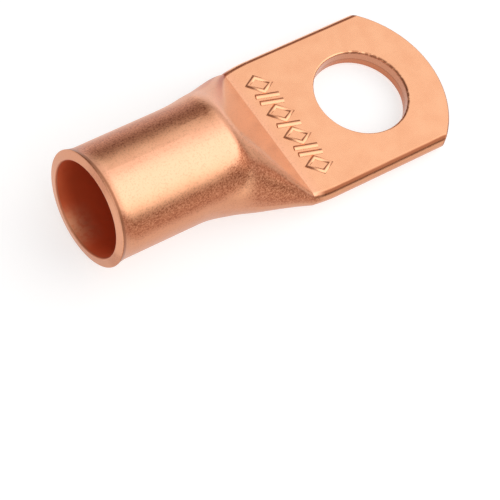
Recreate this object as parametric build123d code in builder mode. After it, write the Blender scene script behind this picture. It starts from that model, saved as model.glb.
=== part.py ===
from build123d import *
from math import acos, degrees, pi, sin
import os

# Bare copper tube terminal: a drawn tube whose far end is pressed flat and punched for a stud.
# Millimetres. The origin is the centre of the stud hole on the palm's underside,
# +X runs to the rounded tip, the barrel opens towards -X and +Z is the pressed side.

# Drawn tube.
tube_od = 12.5
wall = 1.1

# Reaches along the terminal, all from the stud hole's centre.
mouth_reach = 36.3
crease_reach = 12.5
tip_reach = 9.45

# Palm.
stud_hole_d = 10.5
tip_radius = 11.87
press_ratio = 0.9
edge_ratio = 0.3
edge_roundness = 0.75

# Transition between the barrel and the palm.
ramp_run = 7.8
fold_run = 1.6
spread_run = 12.8
swell_run = 3.0
belly_drop = 2.4
slump = 0.12

# Bell mouth, whose rim is a shallow cone.
flare_length = 1.6
flare_rise = 0.3
rim_set_back = 0.2

# Edges left rolled by the press and the punch.
hole_roll = 0.2
rim_roll = 0.12
tip_roll = 0.15

# Sizes that follow from the ones above.
tube_r = tube_od / 2
bore_r = tube_r - wall
palm_t = 2 * wall * press_ratio
palm_half_width = pi * (tube_od - wall) / 4 + wall * edge_ratio
axis_z = tube_r - belly_drop
crown_z = axis_z + tube_r
x_mouth = -mouth_reach
x_flare = x_mouth + flare_length
x_crease = -crease_reach
x_fold = x_crease - ramp_run
x_spread = x_crease - spread_run
x_swell = x_crease + swell_run
x_level = (x_crease + x_swell) / 2
tip_centre_x = tip_reach - tip_radius
palm_bulge = edge_roundness * palm_t / 2
seam_gap = wall / 8
barrel_axis = Axis((0, 0, axis_z), (1, 0, 0))

# Half of the upper and lower edge of a round section, as a share of its half width.
crown_share = 0.22
transition_steps = 18
swell_steps = 3


def blend(x, start, end):
    """Runs from 0 at start to 1 at end with level ends."""
    t = min(max((x - start) / (end - start), 0), 1)
    return t * t * (3 - 2 * t)


def stations(start, end, steps):
    return [start + (end - start) * i / steps for i in range(steps + 1)]


def top_z(x):
    """Height of the pressed side: level over the barrel, an eased fold, then a flat ramp."""
    slope = (crown_z - palm_t) / ramp_run
    past = x - (x_fold - fold_run / 2)
    if past <= 0:
        return crown_z
    if past < fold_run:
        return crown_z - slope * past**2 / (2 * fold_run)
    return max(crown_z - slope * (past - fold_run / 2), palm_t)


def belly_z(x):
    """Height of the underside, which rises from the barrel to the palm."""
    return -belly_drop * (1 - blend(x, x_spread, x_level))


def half_width(x):
    """Half of the outside width: the tube spreads as it is pressed, until a little past the crease."""
    return tube_r + (palm_half_width - tube_r) * blend(x, x_spread, x_swell)


def widest_z(x):
    """Height of the widest point, below the middle by the slump halfway along the transition."""
    along = blend(x, x_spread, x_crease)
    share = 0.5 - 4 * slump * along * (1 - along)
    return belly_z(x) + share * (top_z(x) - belly_z(x))


def side_bulge(x, height):
    """How far the rounded side stands out of a flat this far above or below the widest point."""
    pinch = (palm_t / 2 - palm_bulge) * blend(x, x_fold, x_crease)
    return min(height, half_width(x)) - pinch


def section(x, inset):
    """Closed outline across X, moved in by inset for the inside of the wall."""
    reach = half_width(x) - inset
    middle = widest_z(x)
    level_edges, side_arcs = [], []
    for up, level in ((1, top_z(x)), (-1, belly_z(x))):
        full_height = up * (level - middle)
        height = full_height - inset
        bulge = side_bulge(x, full_height) * height / full_height
        flat = max(reach - bulge, 0)
        edge = max(flat, crown_share * reach)
        turn = acos((edge - flat) / (reach - flat))
        corner_z = middle + up * height * sin(turn)
        left_corner, right_corner = (x, -edge, corner_z), (x, edge, corner_z)
        if edge > flat:
            crown = (x, 0, middle + up * height)
            level_edges.append(Edge.make_three_point_arc(left_corner, crown, right_corner))
        else:
            level_edges.append(Edge.make_line(left_corner, right_corner))
        quarter_plane = Plane((x, flat, middle), x_dir=(0, 1, 0), z_dir=(up, 0, 0))
        quarter = Edge.make_ellipse(reach - flat, height, quarter_plane, 0, degrees(turn))
        side_arcs.append((quarter, quarter.mirror(Plane.XZ)))
    (upper_right, upper_left), (lower_right, lower_left) = side_arcs
    upper, lower = level_edges
    return Face(Wire([upper, upper_right, lower_right, lower, lower_left, upper_left]))


def flared_line(radius, rim_x):
    """Side line of the barrel from its rim inwards: the bell's curve, then straight."""
    line_z = axis_z + radius
    bell_middle = ((rim_x + x_flare) / 2, line_z + flare_rise / 4)
    bell = ThreePointArc((rim_x, line_z + flare_rise), bell_middle, (x_flare, line_z))
    return bell, Line((x_flare, line_z), (x_spread, line_z))


with BuildPart() as cavity:
    for x in stations(x_spread, x_crease, transition_steps):
        if top_z(x) - belly_z(x) - 2 * wall > seam_gap:
            add(section(x, wall))
    loft()

with BuildPart() as ring_terminal:
    with BuildSketch(Plane.XZ):
        with BuildLine():
            outside = flared_line(tube_r, x_mouth)
            inside = flared_line(bore_r, x_mouth - rim_set_back)
            Line(outside[0] @ 0, inside[0] @ 0)
            Line(outside[1] @ 1, inside[1] @ 1)
        make_face()
    revolve(axis=barrel_axis)
    rim_edges = ring_terminal.edges().filter_by(GeomType.CIRCLE).sort_by(Axis.X)[:2]
    fillet(rim_edges, rim_roll)
    for x in stations(x_spread, x_crease, transition_steps):
        add(section(x, 0))
    loft()
    for x in stations(x_crease, x_swell, swell_steps):
        add(section(x, 0))
    loft()
    extrude(section(x_swell, 0), amount=tip_reach + palm_t - x_swell, dir=(1, 0, 0))
    with BuildSketch():
        with Locations((tip_centre_x, 0)):
            Rectangle(2 * tip_radius, 4 * tip_radius, align=(Align.MIN, Align.CENTER))
            Circle(tip_radius, mode=Mode.SUBTRACT)
    extrude(amount=palm_t, mode=Mode.SUBTRACT)
    sheared_edges = ring_terminal.edges(Select.LAST).filter_by(GeomType.CIRCLE)
    fillet(sheared_edges.sort_by(Axis.Z)[-1], tip_roll)
    with BuildSketch():
        Circle(stud_hole_d / 2)
    extrude(amount=palm_t, mode=Mode.SUBTRACT)
    punched_edges = ring_terminal.edges(Select.LAST).filter_by(GeomType.CIRCLE)
    fillet(punched_edges.sort_by(Axis.Z)[-1], hole_roll)
    add(cavity.part, mode=Mode.SUBTRACT)

ring_terminal.part.label = "ring_terminal"
os.makedirs("parts", exist_ok=True)
export_step(ring_terminal.part, "parts/ring_terminal.step")
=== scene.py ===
import math

import bpy
from mathutils import Matrix, Vector


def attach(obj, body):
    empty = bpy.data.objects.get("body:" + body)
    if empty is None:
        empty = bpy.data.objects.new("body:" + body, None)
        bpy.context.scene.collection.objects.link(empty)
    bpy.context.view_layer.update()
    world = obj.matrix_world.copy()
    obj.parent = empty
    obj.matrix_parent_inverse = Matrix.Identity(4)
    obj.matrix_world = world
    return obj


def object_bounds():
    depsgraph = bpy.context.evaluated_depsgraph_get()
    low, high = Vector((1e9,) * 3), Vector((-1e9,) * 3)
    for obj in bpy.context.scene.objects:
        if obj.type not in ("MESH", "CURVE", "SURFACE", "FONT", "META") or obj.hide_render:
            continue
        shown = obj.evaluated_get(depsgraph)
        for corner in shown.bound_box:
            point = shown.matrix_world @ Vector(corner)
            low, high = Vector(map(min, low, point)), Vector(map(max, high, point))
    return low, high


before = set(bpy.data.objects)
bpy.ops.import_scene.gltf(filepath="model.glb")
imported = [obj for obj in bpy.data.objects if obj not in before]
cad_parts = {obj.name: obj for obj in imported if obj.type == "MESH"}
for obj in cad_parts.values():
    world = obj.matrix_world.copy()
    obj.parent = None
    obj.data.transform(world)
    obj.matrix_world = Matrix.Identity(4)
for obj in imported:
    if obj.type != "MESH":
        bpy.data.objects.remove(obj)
cad_low, cad_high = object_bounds()
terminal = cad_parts["ring_terminal"]

# Sizes of the terminal: the origin is the stud hole's centre on the palm's underside, +X runs to the tip.
MM = 0.001
RIM_X = cad_low[0]
TIP_X = cad_high[0]
PALM_TOP = 1.98 * MM
HOLE_R = 5.25 * MM
TIP_R = 11.87 * MM
TIP_CENTRE_X = TIP_X - TIP_R
AXIS_Z = 3.85 * MM
TUBE_R = 6.25 * MM
RIM_BORE_R = 5.45 * MM
SEAM_Z = 0.8 * MM

# Raised marks: round strokes in one row along the crease, sunk in the palm.
ROW_X = -9.75 * MM
MARK_RADIUS = 0.42 * MM
MARK_SINK = 0.25 * MM
MARK_HALF_LENGTH = 1.3 * MM
LOZENGE_HALF_WIDTH = 1 * MM
MARK_LEAN = 0.28

# Where the terminal touches the floor: the barrel's lowest point and the underside of the tip.
LOW_BARREL = Vector((-24.2 * MM, 0, -2.365 * MM))
LOW_TIP = Vector((TIP_X, 0, 0))

# Camera at the photograph's viewing angle: its place, its right and up directions, and its long lens.
CAMERA_PLACE = Vector((-161.97, -111.15, 249.56)) * MM
CAMERA_RIGHT = Vector((0.79991, -0.55629, 0.22513))
CAMERA_UP = Vector((0.38242, 0.76162, 0.52315))
SENSOR_WIDTH = 36
LENS = 210.08


class Graph:
    """Small helper for building shader node trees. Values are sockets or plain numbers."""

    def __init__(self, tree):
        self.nodes = tree.nodes
        self.links = tree.links

    def put(self, socket, value):
        if isinstance(value, bpy.types.NodeSocket):
            self.links.new(value, socket)
        elif value is not None:
            socket.default_value = value

    def split(self, vector):
        node = self.nodes.new("ShaderNodeSeparateXYZ")
        self.put(node.inputs[0], vector)
        return node.outputs

    def math(self, operation, a, b=None, c=None):
        node = self.nodes.new("ShaderNodeMath")
        node.operation = operation
        for socket, value in zip(node.inputs, (a, b, c)):
            self.put(socket, value)
        return node.outputs[0]

    def times(self, *values):
        product = values[0]
        for value in values[1:]:
            product = self.math("MULTIPLY", product, value)
        return product

    def either(self, a, b):
        return self.math("MAXIMUM", a, b)

    def unless(self, mask):
        return self.math("SUBTRACT", 1, mask)

    def gap(self, a, b):
        return self.math("ABSOLUTE", self.math("SUBTRACT", a, b))

    def distance(self, a, b):
        return self.math("SQRT", self.math("ADD", self.math("POWER", a, 2), self.math("POWER", b, 2)))

    def step(self, value, low, high, to_low=0.0, to_high=1.0):
        """Runs smoothly from to_low at low to to_high at high."""
        node = self.nodes.new("ShaderNodeMapRange")
        node.interpolation_type = "SMOOTHSTEP"
        self.put(node.inputs["Value"], value)
        node.inputs["From Min"].default_value = low
        node.inputs["From Max"].default_value = high
        node.inputs["To Min"].default_value = to_low
        node.inputs["To Max"].default_value = to_high
        return node.outputs["Result"]

    def mix(self, factor, a, b):
        node = self.nodes.new("ShaderNodeMix")
        node.data_type = "RGBA"
        self.put(node.inputs[0], factor)
        self.put(node.inputs[6], a)
        self.put(node.inputs[7], b)
        return node.outputs[2]

    def noise(self, position, size, detail=3.0, roughness=0.5):
        node = self.nodes.new("ShaderNodeTexNoise")
        self.put(node.inputs["Vector"], position)
        node.inputs["Scale"].default_value = 1 / size
        node.inputs["Detail"].default_value = detail
        node.inputs["Roughness"].default_value = roughness
        return node.outputs["Fac"]

    def bump(self, height, strength, distance, normal=None):
        node = self.nodes.new("ShaderNodeBump")
        self.put(node.inputs["Height"], height)
        self.put(node.inputs["Strength"], strength)
        node.inputs["Distance"].default_value = distance
        self.put(node.inputs["Normal"], normal)
        return node.outputs["Normal"]


def new_material(name):
    material = bpy.data.materials.new(name)
    material.use_nodes = True
    graph = Graph(material.node_tree)
    return material, graph, graph.nodes["Principled BSDF"]


# Bare copper: satin where the press closed on it, grainy over the annealed barrel, browned inside.
copper, graph, shader = new_material("copper")
coordinates = graph.nodes.new("ShaderNodeTexCoord")
position = coordinates.outputs["Object"]
along, across, height = graph.split(position)
face_x, face_y, face_z = graph.split(coordinates.outputs["Normal"])

# Lean of the faces from the top towards -Y, in radians, with those that face the tip counted further over.
lean = graph.math("ARCTAN2", graph.times(face_y, -1), face_z)
lean = graph.math("MULTIPLY_ADD", face_x, math.radians(40), lean)


def along_step(low, high, to_low=0.0, to_high=1.0):
    """A step between two places along the terminal, in millimetres from the hole's centre."""
    return graph.step(along, low * MM, high * MM, to_low, to_high)


def lean_step(low, high):
    """A step between two leans, in degrees."""
    return graph.step(lean, math.radians(low), math.radians(high))


def band(angle, centre, half_width):
    """1 where the angle is near the centre, falling to 0 either side, in degrees."""
    off = graph.gap(angle, math.radians(centre))
    return graph.step(off, math.radians(half_width), math.radians(half_width / 4))


# Masks for the wall's inside: the bore, and the fold where the wall closes to a seam, whose closed end
# gets painted shade.
off_axis = graph.math("SUBTRACT", height, AXIS_Z)
from_axis = graph.distance(across, off_axis)
in_bore = graph.step(from_axis, RIM_BORE_R + 0.07 * MM, RIM_BORE_R - 0.01 * MM)
in_bore = graph.times(in_bore, along_step(-20, -23))
off_middle = graph.math("SUBTRACT", height, along_step(-22, -12, 4 * MM, 1 * MM))
outward = graph.math("ADD", graph.times(face_y, across), graph.times(face_z, off_middle))
in_fold = graph.either(graph.step(outward, 0, -0.2 * MM), graph.step(face_x, -0.5, -0.7))
in_fold = graph.times(in_fold, along_step(-24, -22), along_step(-12.6, -12.9))
closed_end_shade = graph.times(graph.step(face_x, -0.85, -0.95), in_fold)
inside = graph.either(in_bore, in_fold)
outer = graph.unless(inside)

# Masks for the mouth: the cut rim, a painted dark reflection in the flare behind it, and a painted
# highlight low in the bore.
rim = graph.step(along, RIM_X + 0.23 * MM, RIM_X + 0.17 * MM)
dark_reflection_behind_rim = graph.times(
    graph.step(along, RIM_X + 0.2 * MM, RIM_X + 0.28 * MM),
    graph.step(along, RIM_X + 0.73 * MM, RIM_X + 0.48 * MM),
    graph.step(from_axis, TUBE_R, TUBE_R + 0.1 * MM),
)
from_bottom = graph.math("ARCTAN2", across, graph.times(off_axis, -1))
off_bore_highlight = graph.gap(from_bottom, math.radians(9))
bore_highlight = graph.step(off_bore_highlight, math.radians(34), math.radians(3))
bore_highlight = graph.times(bore_highlight, along_step(-33, -35.8), inside)

# Masks for the cut edges at the tip and in the hole.
from_hole = graph.distance(along, across)
from_tip = graph.distance(graph.math("SUBTRACT", along, TIP_CENTRE_X), across)
hole_wall = graph.step(from_hole, HOLE_R + 0.05 * MM, HOLE_R + 0.01 * MM)
tip_edge = graph.step(from_tip, TIP_R - 0.14 * MM, TIP_R - 0.06 * MM)
tip_edge = graph.times(tip_edge, along_step(-2, 0))
sheared = graph.either(hole_wall, tip_edge)
seam = graph.times(graph.step(graph.gap(height, SEAM_Z), 0.1 * MM, 0.02 * MM), sheared)
torn = graph.times(graph.step(height, SEAM_Z + 0.1 * MM, SEAM_Z - 0.1 * MM), sheared)
plain_side = graph.times(outer, graph.unless(sheared))

# Masks for the tube behind the crease, and for light painted on it: a painted highlight on its crown, a
# painted reflection on the ramp, and painted shade on the shoulder, the far edge and flank, and the lower
# sides.
behind_crease = along_step(-11, -12.6)
tube = graph.times(behind_crease, outer)
crown_highlight = graph.times(band(lean, 18, 32), tube)
ramp_reflection = graph.times(graph.step(face_x, 0.54, 0.68), along_step(-12, -12.6))
shoulder_shade = graph.times(graph.step(face_x, 0.08, 0.22), graph.step(face_x, 0.55, 0.3), tube)
far_edge_shade = graph.times(lean_step(-38, -50), lean_step(-165, -115), tube)
far_flank_shade = graph.times(graph.step(face_y, 0.02, 0.2), along_step(-22, -14.5), tube)
lower_side_shade = graph.times(lean_step(58, 76), lean_step(165, 115), plain_side)

# Masks for the painted dark reflections in bands along the tube, which bend where it starts to spread.
bent_lean = graph.math("ADD", lean, along_step(-25, -19.5, 0, math.radians(18)))
near_shade_band = graph.either(band(bent_lean, 63, 18), graph.times(band(lean, 61, 23), along_step(-21.5, -19)))
near_shade_band = graph.times(near_shade_band, graph.step(face_x, 0.26, 0.44, 0.92, 0.12), tube, plain_side)
far_lean = graph.math("ADD", lean, along_step(-26, -21, 0, math.radians(-5)))
far_shade_band = graph.times(band(far_lean, -34, 27), along_step(-20.2, -21.8), outer, 0.8)

# Masks for the painted shade in lines along the palm's rounded sides, which spare the hole's rim.
palm = graph.unless(behind_crease)
off_hole = graph.times(graph.step(from_hole, HOLE_R + 0.25 * MM, HOLE_R + 0.4 * MM), plain_side)
at_edge = graph.step(graph.math("ABSOLUTE", across), 7.3 * MM, 7.9 * MM)
near_side_shade = graph.times(band(lean, 36, 38), palm, off_hole, graph.math("MULTIPLY_ADD", at_edge, 0.9, 0.1))
far_side_shade = graph.times(lean_step(-1, -9), lean_step(-44, -24), palm, off_hole)
far_side_shade = graph.times(far_side_shade, graph.math("MULTIPLY_ADD", at_edge, 0.3, 0.7))

# Uneven metal: broad clouds, fine grain and slow waves; and a ragged painted shade on the hole's far side,
# where its edge is burred.
mottle = graph.noise(position, 2.2 * MM, 4.0, 0.6)
grain = graph.noise(position, 0.2 * MM, 2.0, 0.8)
soft_waves = graph.noise(position, 5 * MM, 1.0)
ragged = graph.step(graph.noise(position, 0.45 * MM, 2.0), 0.36, 0.56)
burr_shade = graph.step(from_hole, HOLE_R + 0.32 * MM, HOLE_R + 0.14 * MM)
burr_shade = graph.times(burr_shade, along_step(0.3, 2.6), ragged, graph.step(height, 1.6 * MM, 1.8 * MM))
# Painted dark reflections in bands, with pale grain in the highlight and grain darkened within the bands.
dark_reflections = graph.either(near_shade_band, far_side_shade)
pale_grain = graph.times(graph.step(grain, 0.52, 0.64), along_step(-24, -19, 0.3, 0.4), tube)
grain_and_shade = graph.math("MULTIPLY_ADD", graph.either(dark_reflections, far_shade_band), 0.65, 0.2)
grain_and_shade = graph.times(graph.step(grain, 0.48, 0.38), grain_and_shade, tube)

# Colours, each laid over the ones before it: where, how much, and the colour.
clean_colour = graph.mix(graph.step(mottle, 0.3, 0.75), (0.96, 0.49, 0.28, 1), (0.91, 0.44, 0.245, 1))
ramp_reflection_colour = graph.mix(along_step(-21, -13.5), (0.82, 0.49, 0.31, 1), (0.95, 0.67, 0.49, 1))
flank_shade_colour = graph.mix(along_step(-17, -14), (0.64, 0.19, 0.09, 1), (0.48, 0.10, 0.04, 1))
layers = [
    # Painted highlight on the crown and painted reflection on the ramp.
    (crown_highlight, 0.7, (0.96, 0.485, 0.315, 1)),
    (ramp_reflection, 0.9, ramp_reflection_colour),
    # Painted shade on the far edge, the far flank, the shoulder and the lower sides.
    (far_edge_shade, 0.65, (0.66, 0.29, 0.16, 1)),
    (far_flank_shade, 0.95, flank_shade_colour),
    (shoulder_shade, 0.9, (0.80, 0.38, 0.225, 1)),
    (lower_side_shade, 0.72, (0.555, 0.23, 0.122, 1)),
    # Painted dark reflections in bands along the tube.
    (dark_reflections, graph.math("SUBTRACT", 0.85, pale_grain), (0.40, 0.115, 0.05, 1)),
    (far_shade_band, graph.unless(pale_grain), (0.48, 0.145, 0.068, 1)),
    # Painted shade along the palm's near rounded side.
    (near_side_shade, 0.93, (0.23, 0.066, 0.028, 1)),
    # Grain, darker where the dark reflections are painted.
    (grain_and_shade, 1, (0.28, 0.075, 0.035, 1)),
    (inside, 1, (0.82, 0.175, 0.06, 1)),
    # Painted shade on the fold's closed end, which faces the mouth.
    (closed_end_shade, 1, (0.06, 0.015, 0.008, 1)),
    # Painted highlight low in the bore.
    (bore_highlight, graph.step(ragged, 0, 1, 0.7, 1), (0.98, 0.52, 0.29, 1)),
    (rim, 0.6, (0.66, 0.30, 0.18, 1)),
    (sheared, 0.9, (0.57, 0.245, 0.145, 1)),
    (torn, 0.7, (0.56, 0.19, 0.09, 1)),
    (seam, 0.55, (0.30, 0.10, 0.05, 1)),
    # Painted shade along the tip's rounded cut edge, laid over its sheared tone.
    (tip_edge, 0.75, (0.36, 0.12, 0.06, 1)),
    # Painted shade along the hole's far edge.
    (burr_shade, 0.8, (0.34, 0.12, 0.06, 1)),
    # Painted dark reflection in the flare behind the rim.
    (dark_reflection_behind_rim, 0.85, (0.32, 0.12, 0.06, 1)),
]
colour = clean_colour
for mask, amount, laid_over in layers:
    colour = graph.mix(graph.times(mask, amount), colour, laid_over)
graph.put(shader.inputs["Base Color"], colour)

dull = graph.times(inside, graph.math("MULTIPLY_ADD", bore_highlight, -0.6, 1))
graph.put(shader.inputs["Metallic"], graph.math("MULTIPLY_ADD", dull, -0.45, 1))

grain_depth = graph.math("MULTIPLY_ADD", tube, 0.12, 0.04)
roughness = graph.math("MULTIPLY_ADD", tube, 0.06, 0.27)
roughness = graph.math("MULTIPLY_ADD", graph.math("SUBTRACT", grain, 0.5), grain_depth, roughness)
roughness = graph.math("MULTIPLY_ADD", inside, 0.2, roughness)
graph.put(shader.inputs["Roughness"], roughness)

normal = graph.bump(soft_waves, 0.25, 0.1 * MM)
normal = graph.bump(grain, graph.math("MULTIPLY_ADD", tube, 0.4, 0.02), 0.06 * MM, normal)
graph.put(shader.inputs["Normal"], normal)

terminal.data.materials.clear()
terminal.data.materials.append(copper)
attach(terminal, "root")


def mark_point(place, upright):
    """A point of a mark: place is along the row, towards -Y, and upright runs from -1 to 1, towards +X."""
    sideways = place + MARK_LEAN * upright * MARK_HALF_LENGTH
    return (ROW_X + upright * MARK_HALF_LENGTH, -sideways, PALM_TOP - MARK_SINK)


def bar(place):
    return [mark_point(place, -1), mark_point(place, 1)], False


def lozenge(place):
    right, left = mark_point(place + LOZENGE_HALF_WIDTH, 0), mark_point(place - LOZENGE_HALF_WIDTH, 0)
    return [mark_point(place, -1), right, mark_point(place, 1), left], True


# The row of marks: each shape, with its place in millimetres from the terminal's middle towards -Y.
curve = bpy.data.curves.new("marks", "CURVE")
curve.dimensions = "3D"
curve.bevel_depth = MARK_RADIUS
curve.bevel_resolution = 6
curve.use_fill_caps = True
row = [
    (lozenge, -5.8), (bar, -4.2), (bar, -3.3),
    (lozenge, -1.7), (bar, -0.1),
    (lozenge, 1.5), (bar, 3.1), (bar, 4),
    (lozenge, 5.6),
]
for shape, place in row:
    points, closed = shape(place * MM)
    spline = curve.splines.new("POLY")
    spline.points.add(len(points) - 1)
    for target, point in zip(spline.points, points):
        target.co = (*point, 1)
    spline.use_cyclic_u = closed
drawn = bpy.data.objects.new("marks_drawn", curve)
bpy.context.scene.collection.objects.link(drawn)
bpy.context.view_layer.update()
mesh = bpy.data.meshes.new_from_object(drawn.evaluated_get(bpy.context.evaluated_depsgraph_get()))
bpy.data.objects.remove(drawn)
marks = bpy.data.objects.new("marks", mesh)
bpy.context.scene.collection.objects.link(marks)
mesh.materials.clear()
mesh.materials.append(copper)
for polygon in mesh.polygons:
    polygon.use_smooth = True
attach(marks, "root")

# Floor on which the terminal lies, through both places where it touches.
tilt = math.atan2(LOW_TIP.z - LOW_BARREL.z, LOW_TIP.x - LOW_BARREL.x)
bpy.ops.mesh.primitive_plane_add(size=4)
floor = bpy.context.object
floor.name = "floor"
floor.matrix_world = Matrix.Translation(LOW_TIP) @ Matrix.Rotation(-tilt, 4, "Y")

# The floor is grey to the light, and a glow that only the camera, gloss and glass see makes it white.
floor_paint, floor_graph, floor_shader = new_material("floor_paint")
floor_shader.inputs["Base Color"].default_value = (0.5, 0.5, 0.5, 1)
floor_shader.inputs["Roughness"].default_value = 0.9
floor_shader.inputs["Specular IOR Level"].default_value = 0
path = floor_graph.nodes.new("ShaderNodeLightPath")
seen = floor_graph.either(path.outputs["Is Camera Ray"], path.outputs["Is Glossy Ray"])
seen = floor_graph.either(seen, path.outputs["Is Transmission Ray"])
glow = floor_graph.nodes.new("ShaderNodeEmission")
glow.inputs["Color"].default_value = (1, 1, 1, 1)
floor_graph.put(glow.inputs["Strength"], floor_graph.times(seen, 0.64))
total = floor_graph.nodes.new("ShaderNodeAddShader")
floor_graph.put(total.inputs[0], floor_shader.outputs[0])
floor_graph.put(total.inputs[1], glow.outputs[0])
output = next(node for node in floor_graph.nodes if node.type == "OUTPUT_MATERIAL")
floor_graph.put(output.inputs["Surface"], total.outputs[0])
floor.data.materials.append(floor_paint)

# Soft studio light: dim walls, with pale places in them and a broad lamp high on the near side.
world = bpy.data.worlds.new("world")
bpy.context.scene.world = world
world.use_nodes = True
sky = Graph(world.node_tree)
direction = sky.nodes.new("ShaderNodeTexCoord").outputs["Generated"]


def facing(azimuth, elevation, full_angle, end_angle):
    """1 within full_angle of this direction, falling to 0 at end_angle, in degrees."""
    around, up = math.radians(azimuth), math.radians(elevation)
    towards = (math.cos(up) * math.cos(around), math.cos(up) * math.sin(around), math.sin(up))
    node = sky.nodes.new("ShaderNodeVectorMath")
    node.operation = "DOT_PRODUCT"
    sky.put(node.inputs[0], direction)
    sky.put(node.inputs[1], towards)
    cosine = node.outputs["Value"]
    return sky.step(cosine, math.cos(math.radians(end_angle)), math.cos(math.radians(full_angle)))


beyond_mouth = facing(-150, 30, 15, 60)
beyond_tip = facing(25, 31, 8, 28)
above_tip = facing(22, 57, 10, 40)
broad_lamp = facing(-46, 52, 27, 45)
light = sky.mix(beyond_mouth, (0.32, 0.28, 0.26, 1), (0.65, 0.62, 0.6, 1))
light = sky.mix(beyond_tip, light, (1.1, 1.1, 1.1, 1))
light = sky.mix(above_tip, light, (1, 1, 1, 1))
light = sky.mix(broad_lamp, light, (1.75, 1.75, 1.75, 1))
sky.put(sky.nodes["Background"].inputs["Color"], light)

# Camera.
camera_back = CAMERA_RIGHT.cross(CAMERA_UP)
turn = Matrix((CAMERA_RIGHT, CAMERA_UP, camera_back)).transposed()
camera_data = bpy.data.cameras.new("camera")
camera_data.sensor_width = SENSOR_WIDTH
camera_data.lens = LENS
camera_data.clip_start = 0.01
camera_data.clip_end = 10
camera = bpy.data.objects.new("camera", camera_data)
bpy.context.scene.collection.objects.link(camera)
camera.matrix_world = Matrix.Translation(CAMERA_PLACE) @ turn.to_4x4()
bpy.context.scene.camera = camera
bpy.context.scene.view_settings.view_transform = "Standard"
